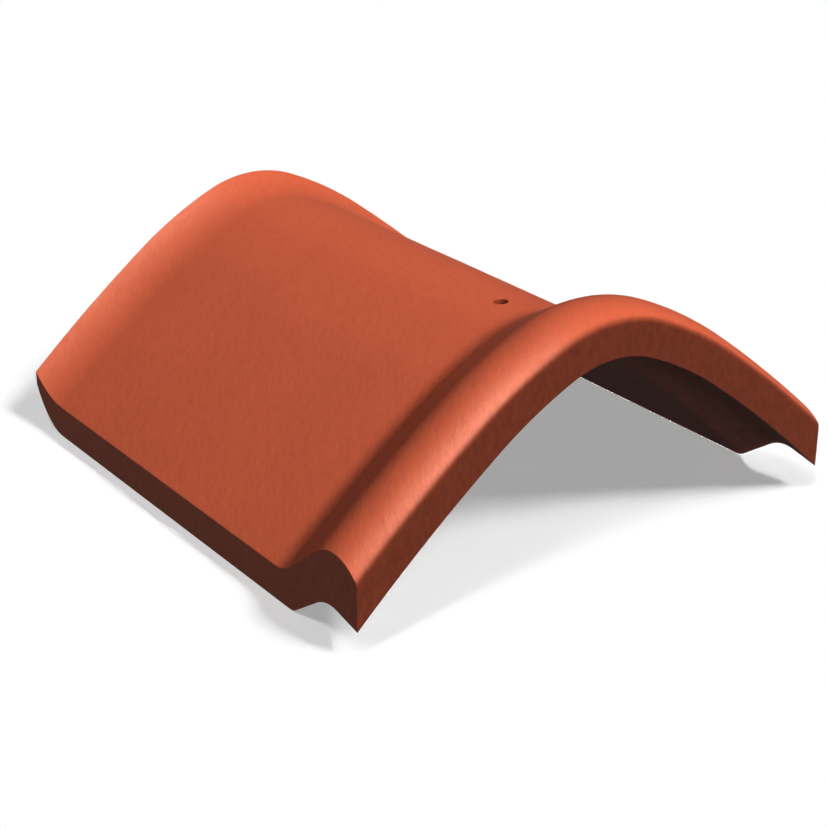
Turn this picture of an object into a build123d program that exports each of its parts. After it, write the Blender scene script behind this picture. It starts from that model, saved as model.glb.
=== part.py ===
"""Concrete ridge tile: an arched tile with a raised collar at one end and a thin upturned lip at the other.

The tile lies on its two long lower edges. X runs along the ridge, with the collar at +X and the lip at -X,
Y runs across the roof, and Z is up. The origin is on the floor, midway between the four lower corners.
All sizes are in millimetres and degrees.
"""

import os
from math import asin, atan2, cos, degrees, radians, sin

from build123d import *

# Overall size
length = 333.0
width = 300.0
wall = 13.5

# Arch across the roof: a tight crown, a wider shoulder on each side, and a nearly straight flank
crown_radius = 65.0
crown_half_angle = 23.5
shoulder_radius = 230.0
shoulder_angle = 13.0
flank_radius = 860.0

# Collar: a rounded roll that stands above the body and covers the lip of the next tile
collar_rise = 21.4
collar_crest_radius = 30.0
collar_crest_setback = 18.5
collar_slope = 30.0
collar_valley_radius = 26.0
collar_edge_radius = 3.0

# Socket: the hollow under the collar that takes the lip of the next tile
socket_rise = 13.5
socket_crest_radius = 28.0
socket_crest_setback = 21.5
socket_corner_radius = 12.0
socket_slope = 26.5
mouth_slope = 9.0

# Lip: the thinned end that turns up to keep driven rain out
lip_length = 32.0
lip_rise = 8.6
lip_land = 5.7
lip_underside_length = 31.0

# Nail hole through the crown
nail_hole_diameter = 7.5
nail_hole_setback = 87.5

collar_end = length / 2
lip_end = -length / 2

# Arch, from the crown down: each arc starts where the last one ends, at the same slope
shoulder_turn = radians(crown_half_angle)
flank_turn = radians(crown_half_angle + shoulder_angle)
shoulder_centre_y = (crown_radius - shoulder_radius) * sin(shoulder_turn)
shoulder_centre_z = (crown_radius - shoulder_radius) * cos(shoulder_turn) - crown_radius
flank_centre_y = shoulder_centre_y + (shoulder_radius - flank_radius) * sin(flank_turn)
flank_centre_z = shoulder_centre_z + (shoulder_radius - flank_radius) * cos(flank_turn)

# The underside of the flank meets the vertical side cut at the lower edge, which lies on the floor
inner_flank_radius = flank_radius - wall
side_reach = width / 2 - flank_centre_y
lower_edge_turn = asin(side_reach / inner_flank_radius)
crown_height = -flank_centre_z - inner_flank_radius * cos(lower_edge_turn)

# The flank runs on past the side cut by one wall, so that the cut trims the whole thickness
flank_angle = degrees(lower_edge_turn - flank_turn + wall / inner_flank_radius)

# Collar: a valley arc, a straight slope, the crest arc and a rounded edge, from the body to the end face
roll_turn = radians(collar_slope)
roll_radii = collar_valley_radius + collar_crest_radius
roll_slope_length = (collar_rise - roll_radii * (1 - cos(roll_turn))) / sin(roll_turn)
roll_run = roll_radii * sin(roll_turn) + roll_slope_length * cos(roll_turn)
collar_start = collar_end - collar_crest_setback - roll_run
brow_reach = collar_crest_setback - collar_edge_radius
brow_turn = degrees(asin(brow_reach / (collar_crest_radius - collar_edge_radius)))

# Socket: a corner arc, a straight slope, the crest arc and a straight mouth, from the body to the end face
slope_turn = radians(socket_slope)
mouth_turn = radians(mouth_slope)
socket_radii = socket_corner_radius + socket_crest_radius
slope_length = (socket_rise - socket_radii * (1 - cos(slope_turn))) / sin(slope_turn)
socket_run = socket_radii * sin(slope_turn) + slope_length * cos(slope_turn)
socket_start = collar_end - socket_crest_setback - socket_run
mouth_length = (socket_crest_setback - socket_crest_radius * sin(mouth_turn)) / cos(mouth_turn)

# Lip: one arc above and one below, both running out of the body's flat faces
lip_underside_rise = wall + lip_rise - lip_land
lip_turn = 2 * atan2(lip_rise, lip_length)
lip_radius = lip_length / sin(lip_turn)
lip_underside_turn = 2 * atan2(lip_underside_rise, lip_underside_length)
lip_underside_radius = lip_underside_length / sin(lip_underside_turn)

with BuildPart() as ridge_tile:
    with BuildLine(Plane.YZ.shift_origin((0, 0, crown_height))) as arch:
        crown = JernArc((0, 0), (1, 0), crown_radius, -crown_half_angle)
        shoulder = JernArc(crown @ 1, crown % 1, shoulder_radius, -shoulder_angle)
        JernArc(shoulder @ 1, shoulder % 1, flank_radius, -flank_angle)

    with BuildSketch(Plane.XZ.shift_origin((0, 0, crown_height))) as profile:
        with BuildLine():
            upper_face = Line((lip_end + lip_length, 0), (collar_start, 0))
            valley = JernArc(upper_face @ 1, (1, 0), collar_valley_radius, collar_slope)
            roll = PolarLine(valley @ 1, roll_slope_length, collar_slope)
            brow = JernArc(roll @ 1, roll % 1, collar_crest_radius, -collar_slope - brow_turn)
            edge = JernArc(brow @ 1, brow % 1, collar_edge_radius, brow_turn - 90)
            lip_top = JernArc(upper_face @ 0, (-1, 0), lip_radius, -degrees(lip_turn))

            under_face = Line((lip_end + lip_underside_length, -wall), (socket_start, -wall))
            corner = JernArc(under_face @ 1, (1, 0), socket_corner_radius, socket_slope)
            rise = PolarLine(corner @ 1, slope_length, socket_slope)
            crest = JernArc(rise @ 1, rise % 1, socket_crest_radius, -socket_slope - mouth_slope)
            mouth = PolarLine(crest @ 1, mouth_length, -mouth_slope)
            lip_under = JernArc(under_face @ 0, (-1, 0), lip_underside_radius, -degrees(lip_underside_turn))

            Line(edge @ 1, mouth @ 1)
            Line(lip_top @ 1, lip_under @ 1)
        make_face()

    sweep(path=arch.line)
    split(bisect_by=Plane.XZ.offset(-width / 2), keep=Keep.TOP)
    mirror(about=Plane.XZ)

    with Locations((collar_end - nail_hole_setback, 0, crown_height)):
        Hole(nail_hole_diameter / 2)

ridge_tile.part.label = "ridge_tile"
os.makedirs("parts", exist_ok=True)
export_step(ridge_tile.part, "parts/ridge_tile.step")
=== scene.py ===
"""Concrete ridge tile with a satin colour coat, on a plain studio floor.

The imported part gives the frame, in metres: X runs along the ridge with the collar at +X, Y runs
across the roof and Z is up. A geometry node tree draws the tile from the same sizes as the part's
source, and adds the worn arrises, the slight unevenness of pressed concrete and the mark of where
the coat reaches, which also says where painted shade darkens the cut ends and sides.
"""

import math

import bmesh
import bpy
from bpy.props import FloatProperty, FloatVectorProperty, IntProperty, PointerProperty
from bpy.types import Operator, Panel, PropertyGroup
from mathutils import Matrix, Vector


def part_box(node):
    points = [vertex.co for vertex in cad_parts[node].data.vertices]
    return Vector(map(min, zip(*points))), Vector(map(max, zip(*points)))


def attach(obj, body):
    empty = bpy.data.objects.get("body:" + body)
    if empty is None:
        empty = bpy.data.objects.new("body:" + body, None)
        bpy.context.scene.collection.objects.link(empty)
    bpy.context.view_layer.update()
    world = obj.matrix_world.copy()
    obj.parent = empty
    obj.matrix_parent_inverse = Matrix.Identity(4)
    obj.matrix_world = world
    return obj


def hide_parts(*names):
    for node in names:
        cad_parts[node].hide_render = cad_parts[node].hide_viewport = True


bl_info = {
    "name": "Ridge Tile",
    "version": (1, 0, 0),
    "blender": (4, 5, 0),
    "location": "View3D > Sidebar > Ridge Tile",
    "description": "Draws a coated concrete ridge tile and the studio that it is shown in",
    "category": "Object",
}

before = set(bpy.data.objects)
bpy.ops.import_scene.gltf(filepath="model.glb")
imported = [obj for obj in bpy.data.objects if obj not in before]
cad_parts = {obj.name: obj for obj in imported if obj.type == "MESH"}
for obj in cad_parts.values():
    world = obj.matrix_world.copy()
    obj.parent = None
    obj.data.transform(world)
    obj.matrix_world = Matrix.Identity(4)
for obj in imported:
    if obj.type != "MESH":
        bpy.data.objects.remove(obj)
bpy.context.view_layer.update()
PART_LOW, PART_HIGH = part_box("ridge_tile")
PART_SIZE = PART_HIGH - PART_LOW

MM = 0.001
TILE_NAME = "coated_tile"
# Attribute that says how far the coat reaches and where the cut faces take painted shade
COAT_AND_SHADE = "coat_and_painted_shade"

# Mesh: faces across a rounded arris, crowding of rows towards the two ends, and edges that stay sharp
ARRIS_CELLS = 3
END_CROWDING = 1.3
SHARP_EDGE = math.radians(32)

# Nail hole: sides, share of the softened rim below the crown, and cover left on its wall, part coat
# colour and part painted shade
HOLE_SIDES = 64
RIM_DROP = 0.6
HOLE_COAT_AND_SHADE = 0.7

# Noises: sizes of their features, and the middle of their range that is stretched
DRIFT_SIZE = 48 * MM
PATCH_SIZE = 7 * MM
SAND_SIZE = 1.7 * MM
NOISE_LOW = 0.3
NOISE_HIGH = 0.7

# Coat and concrete: shares by which the noises change their colour, edge, gloss and relief
DRAWN_GRAIN = 0.75
RAGGED_EDGE = 0.4
GLOSS_CHANGE = 0.03
PATCH_RELIEF = 1.5
DARK_CONCRETE = 0.78
PALE_CONCRETE = 1.2
SAND_SHOWING = 0.18

# Studio: white, half the side of the floor, distance of the lamps and width of the camera's film
WHITE = (1.0, 1.0, 1.0, 1.0)
FLOOR_HALF = 12.0
LAMP_DISTANCE = 2.0
SENSOR_WIDTH = 36


class RidgeTileSizes(PropertyGroup):
    """Sizes of the tile, as in the part's source"""

    length: FloatProperty(
        name="Length", description="Length along the ridge, from the lip to the collar",
        default=PART_SIZE.x, unit="LENGTH", subtype="DISTANCE",
    )
    width: FloatProperty(
        name="Width", description="Width across the roof, between the side faces",
        default=PART_SIZE.y, unit="LENGTH", subtype="DISTANCE",
    )
    wall: FloatProperty(
        name="Wall", description="Thickness of the body",
        default=13.5 * MM, unit="LENGTH", subtype="DISTANCE",
    )
    crown_radius: FloatProperty(
        name="Crown Radius", description="Radius of the arch at its top",
        default=65 * MM, unit="LENGTH", subtype="DISTANCE",
    )
    crown_half_angle: FloatProperty(
        name="Crown Half Angle", description="Turn of the crown arc on each side of the middle",
        default=math.radians(23.5), unit="ROTATION", subtype="ANGLE",
    )
    shoulder_radius: FloatProperty(
        name="Shoulder Radius", description="Radius of the arch between the crown and the flank",
        default=230 * MM, unit="LENGTH", subtype="DISTANCE",
    )
    shoulder_angle: FloatProperty(
        name="Shoulder Angle", description="Turn of the shoulder arc",
        default=math.radians(13), unit="ROTATION", subtype="ANGLE",
    )
    flank_radius: FloatProperty(
        name="Flank Radius", description="Radius of the nearly straight flank",
        default=860 * MM, unit="LENGTH", subtype="DISTANCE",
    )
    collar_rise: FloatProperty(
        name="Collar Rise", description="Height of the collar's crest above the body",
        default=21.4 * MM, unit="LENGTH", subtype="DISTANCE",
    )
    collar_crest_radius: FloatProperty(
        name="Collar Crest Radius", description="Radius of the roll over the collar's crest",
        default=30 * MM, unit="LENGTH", subtype="DISTANCE",
    )
    collar_crest_setback: FloatProperty(
        name="Collar Crest Setback", description="Distance of the collar's crest from the end face",
        default=18.5 * MM, unit="LENGTH", subtype="DISTANCE",
    )
    collar_slope: FloatProperty(
        name="Collar Slope", description="Slope of the collar's face towards the body",
        default=math.radians(30), unit="ROTATION", subtype="ANGLE",
    )
    collar_valley_radius: FloatProperty(
        name="Collar Valley Radius", description="Radius where the collar leaves the body",
        default=26 * MM, unit="LENGTH", subtype="DISTANCE",
    )
    collar_edge_radius: FloatProperty(
        name="Collar Edge Radius", description="Rounding between the collar's crest and its end face",
        default=3 * MM, unit="LENGTH", subtype="DISTANCE",
    )
    socket_rise: FloatProperty(
        name="Socket Rise", description="Height of the hollow under the collar above the underside",
        default=13.5 * MM, unit="LENGTH", subtype="DISTANCE",
    )
    socket_crest_radius: FloatProperty(
        name="Socket Crest Radius", description="Radius at the top of the hollow under the collar",
        default=28 * MM, unit="LENGTH", subtype="DISTANCE",
    )
    socket_crest_setback: FloatProperty(
        name="Socket Crest Setback", description="Distance of the hollow's top from the end face",
        default=21.5 * MM, unit="LENGTH", subtype="DISTANCE",
    )
    socket_corner_radius: FloatProperty(
        name="Socket Corner Radius", description="Radius where the hollow leaves the underside",
        default=12 * MM, unit="LENGTH", subtype="DISTANCE",
    )
    socket_slope: FloatProperty(
        name="Socket Slope", description="Slope of the hollow's inner face",
        default=math.radians(26.5), unit="ROTATION", subtype="ANGLE",
    )
    mouth_slope: FloatProperty(
        name="Mouth Slope", description="Slope of the hollow towards the end face",
        default=math.radians(9), unit="ROTATION", subtype="ANGLE",
    )
    lip_length: FloatProperty(
        name="Lip Length", description="Length over which the upper face turns up at the lip",
        default=32 * MM, unit="LENGTH", subtype="DISTANCE",
    )
    lip_rise: FloatProperty(
        name="Lip Rise", description="Height of the lip's tip above the body",
        default=8.6 * MM, unit="LENGTH", subtype="DISTANCE",
    )
    lip_land: FloatProperty(
        name="Lip Land", description="Thickness of the lip at its tip",
        default=5.7 * MM, unit="LENGTH", subtype="DISTANCE",
    )
    lip_underside_length: FloatProperty(
        name="Lip Underside Length", description="Length over which the underside turns up at the lip",
        default=31 * MM, unit="LENGTH", subtype="DISTANCE",
    )
    nail_hole_diameter: FloatProperty(
        name="Nail Hole Diameter", description="Diameter of the nail hole through the crown",
        default=7.5 * MM, unit="LENGTH", subtype="DISTANCE",
    )
    nail_hole_setback: FloatProperty(
        name="Nail Hole Setback", description="Distance of the nail hole from the collar's end face",
        default=87.5 * MM, unit="LENGTH", subtype="DISTANCE",
    )
    arris_radius: FloatProperty(
        name="Arris Radius", description="Rounding along every edge of the tile",
        default=0.3 * MM, unit="LENGTH", subtype="DISTANCE",
    )
    unevenness_depth: FloatProperty(
        name="Unevenness Depth", description="Depth of the shallow waves in the pressed surface",
        default=0.08 * MM, unit="LENGTH", subtype="DISTANCE",
    )
    unevenness_size: FloatProperty(
        name="Unevenness Size", description="Length of the shallow waves in the pressed surface",
        default=11 * MM, unit="LENGTH", subtype="DISTANCE",
    )
    coat_wrap: FloatProperty(
        name="Coat Wrap", description="Distance that the colour coat reaches round onto the underside",
        default=7 * MM, unit="LENGTH", subtype="DISTANCE",
    )
    # Painted shade: share of the coat colour kept on the side faces, the rest being the darker cut
    # colour
    side_run: FloatProperty(
        name="Side Unshaded Share", description="Share of the full coat that runs down over the side faces",
        default=0.15, min=0, max=1, subtype="FACTOR",
    )
    cells_along: IntProperty(
        name="Cells Along", description="Faces of the mesh along the ridge, an even number",
        default=172, min=12,
    )
    cells_across: IntProperty(
        name="Cells Across", description="Faces of the mesh across the roof, an even number",
        default=202, min=12,
    )
    cells_through: IntProperty(
        name="Cells Through", description="Faces of the mesh through the wall, an even number",
        default=12, min=10,
    )
    seed: IntProperty(
        name="Seed", description="Choice of the random waves in the pressed surface",
        default=7,
    )


class RidgeTileFinish(PropertyGroup):
    """Colours and gloss of the tile"""

    coat_colour: FloatVectorProperty(
        name="Coat Colour", description="Colour of the full coat on the upper face",
        default=(0.725, 0.128, 0.055), min=0, max=1, subtype="COLOR",
    )
    # Painted shade: the cut ends and sides take this colour, far darker than the coat, in place of shade
    # from the lamps
    painted_shade_cut_colour: FloatVectorProperty(
        name="Cut Face Painted Shade Colour", description="Colour of the thin coat on the cut ends and sides",
        default=(0.152, 0.0265, 0.0108), min=0, max=1, subtype="COLOR",
    )
    concrete_colour: FloatVectorProperty(
        name="Concrete Colour", description="Colour of the uncoated concrete on the underside",
        default=(0.122, 0.041, 0.034), min=0, max=1, subtype="COLOR",
    )
    mottle: FloatProperty(
        name="Mottle", description="How far the coat's colour varies over the tile",
        default=0.03, min=0, max=1, subtype="FACTOR",
    )
    speckle: FloatProperty(
        name="Speckle", description="How far the coat's colour varies from grain to grain",
        default=0.06, min=0, max=1, subtype="FACTOR",
    )
    cut_speckle: FloatProperty(
        name="Cut Face Speckle", description="How far the thin coat's colour varies from grain to grain",
        default=0.20, min=0, max=1, subtype="FACTOR",
    )
    grain_size: FloatProperty(
        name="Grain Size", description="Width of the sand grain under the coat",
        default=2.1 * MM, unit="LENGTH", subtype="DISTANCE",
    )
    grain_stretch: FloatProperty(
        name="Grain Stretch", description="Length of the drawn grain over its width",
        default=2.6, min=1,
    )
    grain_turn: FloatProperty(
        name="Grain Turn", description="Turn about Z of the direction across the drawn grain",
        default=math.radians(54), unit="ROTATION", subtype="ANGLE",
    )
    grain_height: FloatProperty(
        name="Grain Height", description="Height of the sand grain under the coat",
        default=0.12 * MM, unit="LENGTH", subtype="DISTANCE",
    )
    coat_roughness: FloatProperty(
        name="Coat Roughness", description="Roughness of the satin coat",
        default=0.50, min=0, max=1, subtype="FACTOR",
    )
    coat_refraction: FloatProperty(
        name="Coat Refraction", description="Index of refraction of the coat, which sets its gloss",
        default=2.1, min=1, max=4,
    )
    gloss_tint: FloatVectorProperty(
        name="Gloss Tint", description="Colour that the pigment gives to the coat's gloss",
        default=(1.0, 0.54, 0.40), min=0, max=1, subtype="COLOR",
    )
    concrete_roughness: FloatProperty(
        name="Concrete Roughness", description="Roughness of the uncoated concrete",
        default=0.85, min=0, max=1, subtype="FACTOR",
    )


class StudioSettings(PropertyGroup):
    """Camera, lamps and floor that the tile is shown with"""

    azimuth: FloatProperty(
        name="Azimuth", description="Turn of the camera about the tile; zero looks along +Y",
        default=math.radians(54.133), unit="ROTATION", subtype="ANGLE",
    )
    elevation: FloatProperty(
        name="Elevation", description="Height of the camera above the horizon",
        default=math.radians(24.154), unit="ROTATION", subtype="ANGLE",
    )
    distance: FloatProperty(
        name="Distance", description="Distance of the camera from the point that it looks at",
        default=0.9458, unit="LENGTH", subtype="DISTANCE",
    )
    aim: FloatVectorProperty(
        name="Aim", description="Point that the camera looks at",
        default=(0.0804, -0.0559, 0.0683), unit="LENGTH", subtype="TRANSLATION",
    )
    lens: FloatProperty(
        name="Lens", description="Focal length of the camera in millimetres",
        default=81.42, min=1,
    )
    overhead_direction: FloatVectorProperty(
        name="Overhead Direction", description="Direction from the tile to the overhead light",
        default=(0.247, -0.342, 0.907), subtype="DIRECTION",
    )
    overhead_level: FloatProperty(
        name="Overhead Level", description="Share of full light that the overhead light gives",
        default=0.37, min=0, max=1, subtype="FACTOR",
    )
    overhead_softness: FloatProperty(
        name="Overhead Softness", description="Angle across the overhead light",
        default=0.18, unit="ROTATION", subtype="ANGLE",
    )
    side_direction: FloatVectorProperty(
        name="Side Direction", description="Direction from the tile to the light beyond the collar",
        default=(0.597, 0.287, 0.749), subtype="DIRECTION",
    )
    side_level: FloatProperty(
        name="Side Level", description="Share of full light that the side light gives",
        default=0.71, min=0, max=1, subtype="FACTOR",
    )
    side_softness: FloatProperty(
        name="Side Softness", description="Angle across the side light",
        default=0.25, unit="ROTATION", subtype="ANGLE",
    )
    front_direction: FloatVectorProperty(
        name="Front Direction", description="Direction from the tile to the low front light",
        default=(0.847, -0.377, 0.375), subtype="DIRECTION",
    )
    front_level: FloatProperty(
        name="Front Level", description="Share of full light that the front light gives",
        default=0.172, min=0, max=1, subtype="FACTOR",
    )
    front_softness: FloatProperty(
        name="Front Softness", description="Angle across the low front light",
        default=0.25, unit="ROTATION", subtype="ANGLE",
    )
    gloss_level: FloatProperty(
        name="Gloss Level", description="Level of the overhead light that shows in the coat's gloss",
        default=0.50, min=0, max=1, subtype="FACTOR",
    )
    surround_level: FloatProperty(
        name="Surround Level", description="Light that reaches the tile from all around",
        default=0.02, min=0, max=1, subtype="FACTOR",
    )
    mirrored_white: FloatProperty(
        name="Mirrored White", description="Share of the white surround that shows in the satin coat",
        default=0.03, min=0, max=1, subtype="FACTOR",
    )
    floor_colour: FloatVectorProperty(
        name="Floor Colour", description="Colour of the pale studio floor",
        default=(0.62, 0.62, 0.62), min=0, max=1, subtype="COLOR",
    )
    floor_glow: FloatProperty(
        name="Floor Glow", description="Level that the floor keeps in the darkest shadow",
        default=0.36, min=0, max=1, subtype="FACTOR",
    )
    floor_bounce: FloatProperty(
        name="Floor Bounce", description="Level of the light that the floor throws back at the tile",
        default=0.10, min=0, max=1, subtype="FACTOR",
    )


class TreeMaker:
    """Adds nodes to a tree in columns, and puts what each one needs into its sockets"""

    rows = 14
    column_width = 190
    row_height = 210

    def __init__(self, tree):
        self.tree = tree
        self.count = 0

    def add(self, kind, inputs=None, **settings):
        """Adds one node, with its settings first because they decide which sockets it has"""
        node = self.tree.nodes.new(kind)
        column, row = divmod(self.count, self.rows)
        node.location = (column * self.column_width, -row * self.row_height)
        self.count += 1
        for name, value in settings.items():
            setattr(node, name, value)
        for place, value in (inputs or {}).items():
            self.put(node.inputs[place], value)
        return node

    def put(self, socket, value):
        """Links a wire or an output into a socket, or sets the socket to a plain value"""
        if isinstance(value, Wire):
            value = value.socket
        if isinstance(value, bpy.types.NodeSocket):
            self.tree.links.new(value, socket)
        else:
            socket.default_value = value

    def wire(self, socket):
        """Wraps a number's socket for arithmetic"""
        return Wire(self, socket)


class Wire:
    """A number in a node tree, which arithmetic in this file carries on with further math nodes"""

    def __init__(self, maker, socket):
        self.maker = maker
        self.socket = socket

    def math(self, operation, *others):
        """Adds a math node that works on this number and the others"""
        node = self.maker.add("ShaderNodeMath", dict(enumerate((self, *others))), operation=operation)
        return Wire(self.maker, node.outputs[0])

    def __add__(self, other):
        return self.math("ADD", other)

    def __sub__(self, other):
        return self.math("SUBTRACT", other)

    def __mul__(self, other):
        return self.math("MULTIPLY", other)

    def __truediv__(self, other):
        return self.math("DIVIDE", other)

    def __neg__(self):
        return self.math("MULTIPLY", -1.0)

    def __abs__(self):
        return self.math("ABSOLUTE")

    def __radd__(self, other):
        return self + other

    def __rsub__(self, other):
        return -self + other

    def __rmul__(self, other):
        return self * other

    def __rtruediv__(self, other):
        node = self.maker.add("ShaderNodeMath", {0: other, 1: self}, operation="DIVIDE")
        return Wire(self.maker, node.outputs[0])

    def root(self):
        return self.math("SQRT")

    def power(self, exponent):
        return self.math("POWER", exponent)

    def sine(self):
        return self.math("SINE")

    def cosine(self):
        return self.math("COSINE")

    def tangent(self):
        return self.math("TANGENT")

    def arcsine(self):
        return self.math("ARCSINE")

    def sign(self):
        return self.math("SIGN")

    def at_most(self, limit):
        return self.math("MINIMUM", limit)

    def at_least(self, limit):
        return self.math("MAXIMUM", limit)

    def between(self, low, high):
        return self.at_least(low).at_most(high)


def own_properties(settings):
    """The properties that a property group adds to Blender's own"""
    own = settings.__class__.__annotations__
    return [settings.bl_rna.properties[name] for name in own]


def add_inputs(tree, settings):
    """Gives the tree a named input for each number in a property group; returns their identifiers"""
    identifiers = {}
    for prop in own_properties(settings):
        kind = "NodeSocketInt" if prop.type == "INT" else "NodeSocketFloat"
        socket = tree.interface.new_socket(prop.name, in_out="INPUT", socket_type=kind)
        socket.description = prop.description
        if prop.type == "FLOAT":
            socket.subtype = prop.subtype
        socket.default_value = prop.default
        identifiers[prop.identifier] = socket.identifier
    return identifiers


def arc_rise(radius, run):
    """How far an arc that starts level has risen after this run"""
    return radius - (radius * radius - run * run).root()


def arc_radius(rise, run):
    """Radius of an arc that starts level and has this rise after this run"""
    return (run * run + rise * rise) / (2 * rise)


def roll(along, crest_place, rise, slope, hollow_radius, crest_radius):
    """Height of a roll: a hollow arc, then a straight slope, then an arc over its crest"""
    hollow_run = hollow_radius * slope.sine()
    crest_run = crest_radius * slope.sine()
    slope_rise = rise - (hollow_radius + crest_radius) * (1 - slope.cosine())
    slope_run = slope_rise / slope.tangent()
    slope_start = crest_place - crest_run - slope_run
    hollow = arc_rise(hollow_radius, (along - slope_start + hollow_run).between(0, hollow_run))
    straight = (along - slope_start).between(0, slope_run) * slope.tangent()
    past_crest = (along - crest_place).at_least(-crest_run)
    crest = arc_rise(crest_radius, crest_run) - arc_rise(crest_radius, past_crest)
    return hollow + straight + crest


def upper_face(size, along):
    """Height of the upper face above the body, at a distance along the ridge"""
    collar_end = size["length"] / 2
    lip_start = size["lip_length"] - collar_end
    lip_radius = arc_radius(size["lip_rise"], size["lip_length"])
    lip = arc_rise(lip_radius, (lip_start - along).at_least(0))
    crest_place = collar_end - size["collar_crest_setback"]
    crest_radius = size["collar_crest_radius"]
    edge_radius = size["collar_edge_radius"]
    edge_turn = (size["collar_crest_setback"] - edge_radius) / (crest_radius - edge_radius)
    collar = roll(
        along.at_most(crest_place + crest_radius * edge_turn), crest_place, size["collar_rise"],
        size["collar_slope"], size["collar_valley_radius"], crest_radius,
    )
    edge_start = edge_radius * edge_turn
    past_edge = (along - collar_end + edge_radius).between(edge_start, edge_radius)
    edge = arc_rise(edge_radius, past_edge) - arc_rise(edge_radius, edge_start)
    return lip + collar - edge


def lower_face(size, along):
    """Height of the underside above the body's upper face, at a distance along the ridge"""
    collar_end = size["length"] / 2
    lip_rise = size["wall"] + size["lip_rise"] - size["lip_land"]
    lip_start = size["lip_underside_length"] - collar_end
    lip_radius = arc_radius(lip_rise, size["lip_underside_length"])
    lip = arc_rise(lip_radius, (lip_start - along).at_least(0))

    crest_place = collar_end - size["socket_crest_setback"]
    mouth_start = crest_place + size["socket_crest_radius"] * size["mouth_slope"].sine()
    socket = roll(
        along.at_most(mouth_start), crest_place, size["socket_rise"],
        size["socket_slope"], size["socket_corner_radius"], size["socket_crest_radius"],
    )
    mouth = (along - mouth_start).at_least(0) * size["mouth_slope"].tangent()
    return lip + socket - mouth - size["wall"]


class Arch:
    """The arch across the roof: crown, shoulder and flank arcs that run into each other"""

    def __init__(self, size):
        self.radii = [size["crown_radius"], size["shoulder_radius"], size["flank_radius"]]
        crown_turn = size["crown_half_angle"]
        flank_turn = crown_turn + size["shoulder_angle"]
        self.turns = [crown_turn, flank_turn]
        crown, shoulder, flank = self.radii
        self.crown_arc = crown * crown_turn
        self.upper_arc = self.crown_arc + shoulder * size["shoulder_angle"]
        centre_y = (crown - shoulder) * crown_turn.sine() + (shoulder - flank) * flank_turn.sine()
        centre_z = (crown - shoulder) * crown_turn.cosine() + (shoulder - flank) * flank_turn.cosine()
        centre_z = centre_z - crown
        self.side_reach = size["width"] / 2 - centre_y
        inner = flank - size["wall"]
        lower_edge = (inner * inner - self.side_reach * self.side_reach).root()
        self.crown_height = -centre_z - lower_edge

    def half_length(self, height):
        """Length of half the arch to the side face, for a point at this height above the body"""
        flank = self.radii[2]
        end_turn = (self.side_reach / (flank + height)).arcsine()
        return self.upper_arc + (end_turn - self.turns[1]) * flank

    def point(self, distance, height):
        """Place across the roof and height above the floor, at a distance along the arch"""
        crown, shoulder, flank = self.radii
        crown_turn, flank_turn = self.turns
        turn = distance.at_most(self.crown_arc) / crown
        turn = turn + (distance.between(self.crown_arc, self.upper_arc) - self.crown_arc) / shoulder
        turn = turn + (distance - self.upper_arc).at_least(0) / flank
        in_crown = turn.at_most(crown_turn)
        in_shoulder = turn.between(crown_turn, flank_turn)
        in_flank = turn.at_least(flank_turn)
        across = crown * in_crown.sine() + height * turn.sine()
        across = across + shoulder * (in_shoulder.sine() - crown_turn.sine())
        across = across + flank * (in_flank.sine() - flank_turn.sine())
        up = self.crown_height + crown * (in_crown.cosine() - 1) + height * turn.cosine()
        up = up + shoulder * (in_shoulder.cosine() - crown_turn.cosine())
        up = up + flank * (in_flank.cosine() - flank_turn.cosine())
        return across, up


class Cells:
    """Rows of faces between two opposite faces: narrow by the arrises, and wider between"""

    def __init__(self, coordinate, count, crowding=1.0):
        self.side = coordinate.sign()
        step = count * (0.5 - abs(coordinate))
        self.corner = 1 - step.at_most(ARRIS_CELLS) / ARRIS_CELLS
        self.beside = (step - ARRIS_CELLS).between(0, 1)
        even = (step - ARRIS_CELLS - 1).at_least(0) / (count / 2 - ARRIS_CELLS - 1)
        self.rest = even.power(crowding)

    def distance(self, radius, rounding, half):
        """Distance inwards from the nearer face, once the arris is rounded"""
        return radius * (1 - self.corner * rounding + self.beside) + self.rest * (half - 2 * radius)


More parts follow.
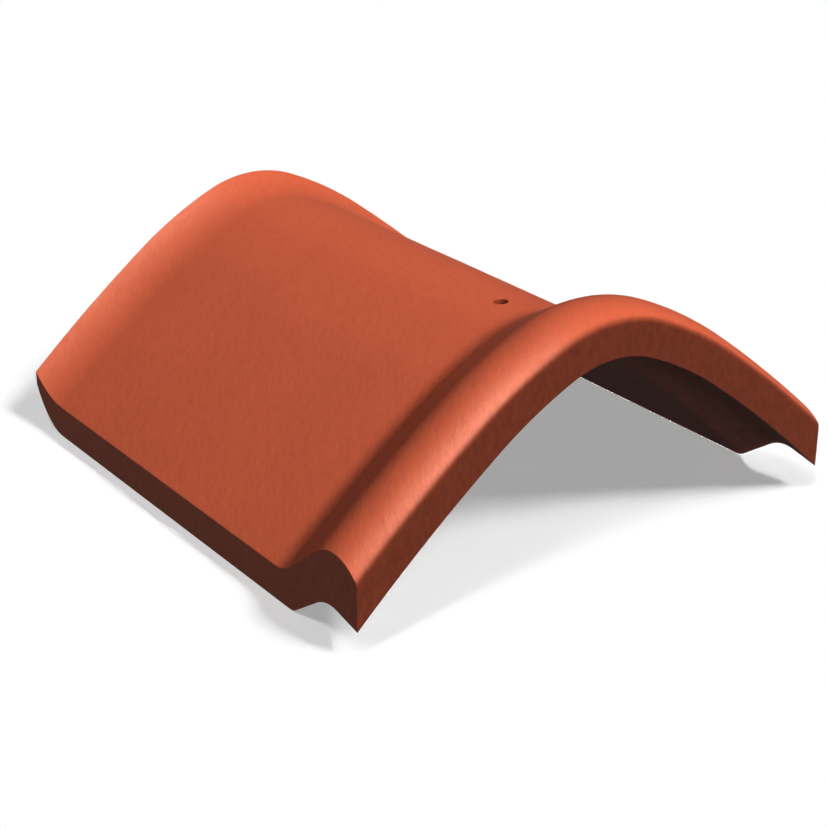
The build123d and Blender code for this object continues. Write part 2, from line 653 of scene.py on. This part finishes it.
def tile_tree(settings, material):
    """Builds the node tree that draws the tile, and returns it with its inputs' identifiers"""
    tree = bpy.data.node_groups.new("ridge_tile_rule", "GeometryNodeTree")
    tree.is_modifier = True
    identifiers = add_inputs(tree, settings)
    tree.interface.new_socket("Geometry", in_out="OUTPUT", socket_type="NodeSocketGeometry")
    maker = TreeMaker(tree)
    group_input = maker.add("NodeGroupInput")
    size = {
        prop.identifier: maker.wire(group_input.outputs[prop.name])
        for prop in own_properties(settings)
    }

    block = maker.add("GeometryNodeMeshCube", {
        "Size": (1.0, 1.0, 1.0),
        "Vertices X": size["cells_along"] + 1,
        "Vertices Y": size["cells_across"] + 1,
        "Vertices Z": size["cells_through"] + 1,
    })
    position = maker.add("GeometryNodeInputPosition")
    parts = maker.add("ShaderNodeSeparateXYZ", {0: position.outputs[0]})
    along_cells = Cells(maker.wire(parts.outputs["X"]), size["cells_along"], END_CROWDING)
    across_cells = Cells(maker.wire(parts.outputs["Y"]), size["cells_across"])
    through_cells = Cells(maker.wire(parts.outputs["Z"]), size["cells_through"])

    corners = [cells.corner for cells in (along_cells, across_cells, through_cells)]
    spread = sum(corner * corner for corner in corners)
    rounding = 1.0 / spread.root().at_least(1)
    arris = size["arris_radius"]

    from_end = along_cells.distance(arris, rounding, size["length"] / 2)
    along = along_cells.side * (size["length"] / 2 - from_end)
    top = upper_face(size, along)
    bottom = lower_face(size, along)
    half_wall = (top - bottom) / 2
    from_face = through_cells.distance(arris, rounding, half_wall)
    height = (top + bottom) / 2 + through_cells.side * (half_wall - from_face)
    arch = Arch(size)
    half_arch = arch.half_length(height)
    from_side = across_cells.distance(arris, rounding, half_arch)
    across, up = arch.point(half_arch - from_side, height)
    place = maker.add("ShaderNodeCombineXYZ", {0: along, 1: across_cells.side * across, 2: up})

    depth = top - height
    reach = (1 - from_end.at_most(from_side).at_most(depth) / size["coat_wrap"]).between(0, 1)
    over_edge = ((size["length"] / 2 - along) / size["collar_edge_radius"]).between(0, 1)
    # Painted shade: the upper face keeps the coat colour, the sides a share of it, and the rest takes
    # the dark cut colour
    top_unshaded = (1 - depth / arris).between(0, 1) * over_edge
    sides_unshaded = (1 - from_side / arris).between(0, 1) * size["side_run"]
    coat = (reach + top_unshaded.at_least(sides_unshaded)) / 2
    marked = maker.add("GeometryNodeStoreNamedAttribute", {
        "Geometry": block.outputs["Mesh"], "Name": COAT_AND_SHADE, "Value": coat,
    }, data_type="FLOAT", domain="POINT")
    shaped = maker.add("GeometryNodeSetPosition", {
        "Geometry": marked.outputs["Geometry"], "Position": place.outputs[0],
    })

    waves = maker.add("ShaderNodeTexNoise", {
        "Vector": position.outputs[0],
        "W": size["seed"],
        "Scale": 1.0 / size["unevenness_size"],
        "Detail": 2.0,
    }, noise_dimensions="4D")
    normal = maker.add("GeometryNodeInputNormal")
    inward = maker.add("ShaderNodeVectorMath", {
        0: normal.outputs[0],
        "Scale": -(maker.wire(waves.outputs["Fac"]) * size["unevenness_depth"]),
    }, operation="SCALE")
    pressed = maker.add("GeometryNodeSetPosition", {
        "Geometry": shaped.outputs["Geometry"], "Offset": inward.outputs[0],
    })

    bored = nail_hole(maker, size, arch, pressed.outputs["Geometry"])
    smooth = maker.add("GeometryNodeSetShadeSmooth", {"Geometry": bored}, domain="FACE")
    edge_angle = maker.add("GeometryNodeInputMeshEdgeAngle")
    sharp = maker.wire(edge_angle.outputs["Unsigned Angle"]).math("GREATER_THAN", SHARP_EDGE)
    creased = maker.add("GeometryNodeSetShadeSmooth", {
        "Geometry": smooth.outputs["Geometry"], "Selection": sharp, "Shade Smooth": False,
    }, domain="EDGE")
    realized = maker.add("GeometryNodeRealizeInstances", {"Geometry": creased.outputs["Geometry"]})
    finished = maker.add("GeometryNodeSetMaterial", {
        "Geometry": realized.outputs["Geometry"], "Material": material,
    })
    maker.add("NodeGroupOutput", {0: finished.outputs["Geometry"]})
    return tree, identifiers


def nail_hole(maker, size, arch, geometry):
    """Bores the nail hole through the crown with a softened rim, and thins the coat on its wall to
    painted shade and bare concrete
    """
    radius = size["nail_hole_diameter"] / 2
    place = size["length"] / 2 - size["nail_hole_setback"]
    wall = size["wall"]
    rim = size["arris_radius"]
    drill = maker.add("GeometryNodeMeshCylinder", {
        "Vertices": HOLE_SIDES, "Radius": radius, "Depth": 3 * wall,
    })
    drill_place = maker.add("ShaderNodeCombineXYZ", {0: place, 2: arch.crown_height - wall / 2})
    drill_set = maker.add("GeometryNodeTransform", {
        "Geometry": drill.outputs["Mesh"], "Translation": drill_place.outputs[0],
    })
    flare = maker.add("GeometryNodeMeshCone", {
        "Vertices": HOLE_SIDES, "Radius Top": radius + rim, "Radius Bottom": radius, "Depth": rim,
    })
    flare_place = maker.add("ShaderNodeCombineXYZ", {0: place, 2: arch.crown_height - RIM_DROP * rim})
    flare_set = maker.add("GeometryNodeTransform", {
        "Geometry": flare.outputs["Mesh"], "Translation": flare_place.outputs[0],
    })
    cut = maker.add("GeometryNodeMeshBoolean", {
        "Mesh 1": geometry,
    }, operation="DIFFERENCE", solver="MANIFOLD")
    for cutter in (drill_set, flare_set):
        maker.tree.links.new(cutter.outputs["Geometry"], cut.inputs["Mesh 2"])

    position = maker.add("GeometryNodeInputPosition")
    parts = maker.add("ShaderNodeSeparateXYZ", {0: position.outputs[0]})
    off_x = maker.wire(parts.outputs["X"]) - place
    off_y = maker.wire(parts.outputs["Y"])
    off_axis = (off_x * off_x + off_y * off_y).root()
    by_hole = off_axis.math("LESS_THAN", radius + 2 * rim)
    on_rim = off_axis.math("GREATER_THAN", radius + rim / 4)
    upper = ((maker.wire(parts.outputs["Z"]) - arch.crown_height) / wall + 1).between(0, 1)
    # On the wall the coat colour gives way to the darker cut colour, which is painted shade, and to bare
    # concrete towards the bottom
    thinned = maker.add("GeometryNodeStoreNamedAttribute", {
        "Geometry": cut.outputs["Mesh"], "Selection": by_hole, "Name": COAT_AND_SHADE,
        "Value": upper * (HOLE_COAT_AND_SHADE + (1 - HOLE_COAT_AND_SHADE) * on_rim),
    }, data_type="FLOAT", domain="POINT")
    return thinned.outputs["Geometry"]


def mix_colours(maker, share, first, second, blend_type="MIX"):
    """Adds a node that goes from the first colour to the second by a share"""
    node = maker.add("ShaderNodeMix", {
        0: share, 6: first, 7: second,
    }, data_type="RGBA", blend_type=blend_type)
    return node.outputs[2]


def opaque(colour):
    """A colour with its alpha, as colour sockets take it"""
    return (*colour, 1.0)


def noise(maker, place, feature, detail):
    """A noise whose features have this size, as a number from about 0 to 1"""
    node = maker.add("ShaderNodeTexNoise", {"Vector": place, "Scale": 1 / feature, "Detail": detail})
    return maker.wire(node.outputs["Fac"])


def spread_out(value, low, high):
    """Stretches the middle of a noise to the range from low to high"""
    node = value.maker.add("ShaderNodeMapRange", {
        0: value, 1: NOISE_LOW, 2: NOISE_HIGH, 3: low, 4: high,
    })
    return value.maker.wire(node.outputs[0])


def coated_concrete(finish):
    """Satin coat over sand grain, which thins out round the lower edges to bare coloured concrete, with
    painted shade on the cut ends and sides
    """
    material = bpy.data.materials.new("coated_concrete")
    material.use_nodes = True
    material.node_tree.nodes.clear()
    maker = TreeMaker(material.node_tree)
    place = maker.add("ShaderNodeTexCoord").outputs["Object"]
    drawn = maker.add("ShaderNodeMapping", {
        "Vector": place,
        "Rotation": (0.0, 0.0, finish.grain_turn),
        "Scale": (1.0, finish.grain_stretch, finish.grain_stretch),
    }, vector_type="TEXTURE")
    grain = noise(maker, drawn.outputs[0], finish.grain_size, detail=2.0) * DRAWN_GRAIN
    grain = grain + noise(maker, place, finish.grain_size / 2, detail=1.0) * (1 - DRAWN_GRAIN)
    drift = noise(maker, place, DRIFT_SIZE, detail=3.0)
    patches = noise(maker, place, PATCH_SIZE, detail=2.0)

    reach = maker.add("ShaderNodeAttribute", attribute_name=COAT_AND_SHADE, attribute_type="GEOMETRY")
    cover = maker.wire(reach.outputs["Fac"])

    # The lower half of the cover says how far the thin coat reaches; the upper half is painted shade,
    # keeping the coat colour on the upper face and the darker cut colour on the cut ends and sides
    coated = (cover * 4 - 0.5 + spread_out(patches, -RAGGED_EDGE, RAGGED_EDGE)).between(0, 1)
    full = (cover * 2 - 1).between(0, 1)

    # Painted shade: the darker cut colour on the cut ends and sides, the coat colour on the upper face
    tint = mix_colours(maker, full, opaque(finish.painted_shade_cut_colour), opaque(finish.coat_colour))
    speckle = finish.cut_speckle + full * (finish.speckle - finish.cut_speckle)
    shade = spread_out(grain, 1 - speckle, 1 + speckle)
    shade = shade * spread_out(drift, 1 - finish.mottle, 1 + finish.mottle)
    shade_colour = maker.add("ShaderNodeCombineXYZ", {0: shade, 1: shade, 2: shade})
    coat_tint = mix_colours(maker, 1.0, tint, shade_colour.outputs[0], "MULTIPLY")

    sand = maker.add("ShaderNodeTexVoronoi", {"Vector": place, "Scale": 1 / SAND_SIZE})
    concrete = Vector(finish.concrete_colour)
    blotches = spread_out(patches * 0.5 + grain * 0.5, 0, 1)
    sandy = mix_colours(
        maker, blotches, opaque(concrete * DARK_CONCRETE), opaque(concrete * PALE_CONCRETE),
    )
    bare_tint = mix_colours(maker, SAND_SHOWING, sandy, sand.outputs["Color"], "SOFT_LIGHT")
    colour = mix_colours(maker, coated, bare_tint, coat_tint)

    worn = spread_out(grain * 0.6 + patches * 0.4, GLOSS_CHANGE, -GLOSS_CHANGE)
    coat_gloss = worn + finish.coat_roughness
    roughness = finish.concrete_roughness + coated * (coat_gloss - finish.concrete_roughness)

    sand_relief = maker.wire(sand.outputs["Distance"]) * (1 - coated)
    relief = maker.add("ShaderNodeBump", {
        "Strength": 1.0,
        "Distance": finish.grain_height,
        "Height": grain + sand_relief + patches * PATCH_RELIEF,
    })
    surface = maker.add("ShaderNodeBsdfPrincipled", {
        "Base Color": colour, "Roughness": roughness, "Normal": relief.outputs[0],
        "IOR": finish.coat_refraction, "Specular Tint": opaque(finish.gloss_tint),
    })
    maker.add("ShaderNodeOutputMaterial", {"Surface": surface.outputs[0]})
    return material


class RIDGETILE_OT_tile(Operator):
    """Draw the coated tile in place of the plain solid"""

    bl_idname = "ridge_tile.tile"
    bl_label = "Draw Tile"

    def execute(self, context):
        sizes = context.scene.ridge_tile_sizes
        material = coated_concrete(context.scene.ridge_tile_finish)
        piece = bpy.data.objects.new(TILE_NAME, bpy.data.meshes.new(TILE_NAME))
        context.scene.collection.objects.link(piece)
        tree, identifiers = tile_tree(sizes, material)
        rule = piece.modifiers.new("Tile Rule", "NODES")
        rule.node_group = tree
        for name, identifier in identifiers.items():
            rule[identifier] = getattr(sizes, name)
        drawn = piece.evaluated_get(context.evaluated_depsgraph_get())
        mesh = bpy.data.meshes.new_from_object(drawn)
        piece.modifiers.remove(rule)
        piece.data = mesh
        mesh.name = "coated_tile_mesh"
        if not is_closed(mesh):
            raise RuntimeError("the tile's mesh isn't closed; look at the sizes")
        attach(piece, "root")
        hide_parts("ridge_tile")
        return {"FINISHED"}


def is_closed(mesh):
    """Whether the mesh has faces, and each of its edges joins two of them"""
    work = bmesh.new()
    work.from_mesh(mesh)
    closed = len(work.faces) > 0 and all(edge.is_manifold for edge in work.edges)
    work.free()
    return closed


def studio_floor_material(studio):
    """Pale floor that looks white where it is lit, keeps the shadow and throws little light back"""
    material = bpy.data.materials.new("studio_floor")
    material.use_nodes = True
    material.node_tree.nodes.clear()
    maker = TreeMaker(material.node_tree)
    seen = maker.add("ShaderNodeBsdfDiffuse", {"Color": opaque(studio.floor_colour)})
    glow = maker.add("ShaderNodeEmission", {"Color": WHITE, "Strength": studio.floor_glow})
    shown = maker.add("ShaderNodeAddShader", {0: seen.outputs[0], 1: glow.outputs[0]})
    bounce = maker.add("ShaderNodeEmission", {"Color": WHITE, "Strength": studio.floor_bounce})
    in_view = shown_ray(maker, studio.mirrored_white)
    faced = maker.add("ShaderNodeMixShader", {0: in_view, 1: bounce.outputs[0], 2: shown.outputs[0]})
    back = maker.add("ShaderNodeNewGeometry").outputs["Backfacing"]
    clear = maker.add("ShaderNodeBsdfTransparent")
    sided = maker.add("ShaderNodeMixShader", {0: back, 1: faced.outputs[0], 2: clear.outputs[0]})
    maker.add("ShaderNodeOutputMaterial", {"Surface": sided.outputs[0]})
    return material


def shown_ray(maker, mirrored):
    """One where the camera looks straight or through glass, and the mirrored share in reflections"""
    path = maker.add("ShaderNodeLightPath")
    straight = maker.wire(path.outputs["Is Camera Ray"])
    through = maker.wire(path.outputs["Is Transmission Ray"])
    reflected = maker.wire(path.outputs["Is Glossy Ray"]) * mirrored
    return (straight + through + reflected).at_most(1)


def studio_world(studio):
    """White surround to look at, with only a little light of its own"""
    world = bpy.data.worlds.new("studio_world")
    world.use_nodes = True
    world.node_tree.nodes.clear()
    maker = TreeMaker(world.node_tree)
    white = maker.add("ShaderNodeBackground", {"Color": WHITE, "Strength": 1.0})
    fill = maker.add("ShaderNodeBackground", {"Color": WHITE, "Strength": studio.surround_level})
    in_view = shown_ray(maker, studio.mirrored_white)
    both = maker.add("ShaderNodeMixShader", {0: in_view, 1: fill.outputs[0], 2: white.outputs[0]})
    maker.add("ShaderNodeOutputWorld", {"Surface": both.outputs[0]})
    return world


def add_lamp(name, direction, level, softness, lit, glossy=False):
    """Adds a soft lamp on these objects, which gives a level surface this share of full light

    A glossy lamp shows only in their gloss, and any other lamp only in their colour.
    """
    towards = Vector(direction).normalized()
    data = bpy.data.lights.new(name, "SUN")
    data.energy = level * math.pi / towards.z
    data.angle = softness
    lamp = bpy.data.objects.new(name, data)
    lamp.rotation_mode = "QUATERNION"
    lamp.rotation_quaternion = towards.to_track_quat("Z", "Y")
    lamp.location = towards * LAMP_DISTANCE
    lamp.visible_diffuse = not glossy
    lamp.visible_glossy = glossy
    receivers = bpy.data.collections.new(name + "_receivers")
    for piece in lit:
        receivers.objects.link(piece)
    lamp.light_linking.receiver_collection = receivers
    bpy.context.scene.collection.objects.link(lamp)


def add_camera(studio):
    """Adds the camera and makes it the scene's own"""
    turn = studio.azimuth
    rise = studio.elevation
    flat = math.cos(rise)
    back = Vector((math.sin(turn) * flat, -math.cos(turn) * flat, math.sin(rise)))
    data = bpy.data.cameras.new("studio_camera")
    data.lens = studio.lens
    data.sensor_width = SENSOR_WIDTH
    camera = bpy.data.objects.new("studio_camera", data)
    camera.location = Vector(studio.aim) + back * studio.distance
    camera.rotation_mode = "QUATERNION"
    camera.rotation_quaternion = back.to_track_quat("Z", "Y")
    bpy.context.scene.collection.objects.link(camera)
    bpy.context.scene.camera = camera


class RIDGETILE_OT_stage(Operator):
    """Set up the floor, the lamps and the camera"""

    bl_idname = "ridge_tile.stage"
    bl_label = "Set Up Studio"

    def execute(self, context):
        studio = context.scene.ridge_tile_studio
        tile = bpy.data.objects.get(TILE_NAME)
        if tile is None:
            raise RuntimeError("the tile isn't drawn yet; its lamps are set on it")
        half = FLOOR_HALF
        corners = [(-half, -half, 0), (half, -half, 0), (half, half, 0), (-half, half, 0)]
        mesh = bpy.data.meshes.new("studio_floor")
        mesh.from_pydata(corners, [], [(0, 1, 2, 3)])
        mesh.materials.append(studio_floor_material(studio))
        floor = bpy.data.objects.new("studio_floor", mesh)
        context.scene.collection.objects.link(floor)
        context.scene.world = studio_world(studio)
        overhead = studio.overhead_direction
        softness = studio.overhead_softness
        add_lamp("overhead_lamp", overhead, studio.overhead_level, softness, [floor])
        add_lamp("gloss_lamp", overhead, studio.gloss_level, softness, [tile], glossy=True)
        add_lamp(
            "side_lamp", studio.side_direction, studio.side_level, studio.side_softness, [floor, tile],
        )
        add_lamp(
            "front_lamp", studio.front_direction, studio.front_level, studio.front_softness, [tile],
        )
        add_camera(studio)
        context.scene.view_settings.view_transform = "Standard"
        return {"FINISHED"}


class VIEW3D_PT_ridge_tile(Panel):
    """Buttons and sizes of the ridge tile"""

    bl_label = "Ridge Tile"
    bl_space_type = "VIEW_3D"
    bl_region_type = "UI"
    bl_category = "Ridge Tile"

    def draw(self, context):
        groups = {
            RIDGETILE_OT_tile: (context.scene.ridge_tile_sizes, context.scene.ridge_tile_finish),
            RIDGETILE_OT_stage: (context.scene.ridge_tile_studio,),
        }
        for operator, settings in groups.items():
            box = self.layout.box()
            box.operator(operator.bl_idname)
            for group in settings:
                for prop in own_properties(group):
                    box.prop(group, prop.identifier)


CLASSES = (
    RidgeTileSizes,
    RidgeTileFinish,
    StudioSettings,
    RIDGETILE_OT_tile,
    RIDGETILE_OT_stage,
    VIEW3D_PT_ridge_tile,
)


def register():
    for cls in CLASSES:
        bpy.utils.register_class(cls)
    bpy.types.Scene.ridge_tile_sizes = PointerProperty(type=RidgeTileSizes)
    bpy.types.Scene.ridge_tile_finish = PointerProperty(type=RidgeTileFinish)
    bpy.types.Scene.ridge_tile_studio = PointerProperty(type=StudioSettings)


def unregister():
    del bpy.types.Scene.ridge_tile_studio
    del bpy.types.Scene.ridge_tile_finish
    del bpy.types.Scene.ridge_tile_sizes
    for cls in reversed(CLASSES):
        bpy.utils.unregister_class(cls)


def main():
    register()
    bpy.ops.ridge_tile.tile()
    bpy.ops.ridge_tile.stage()


if __name__ == "__main__":
    main()
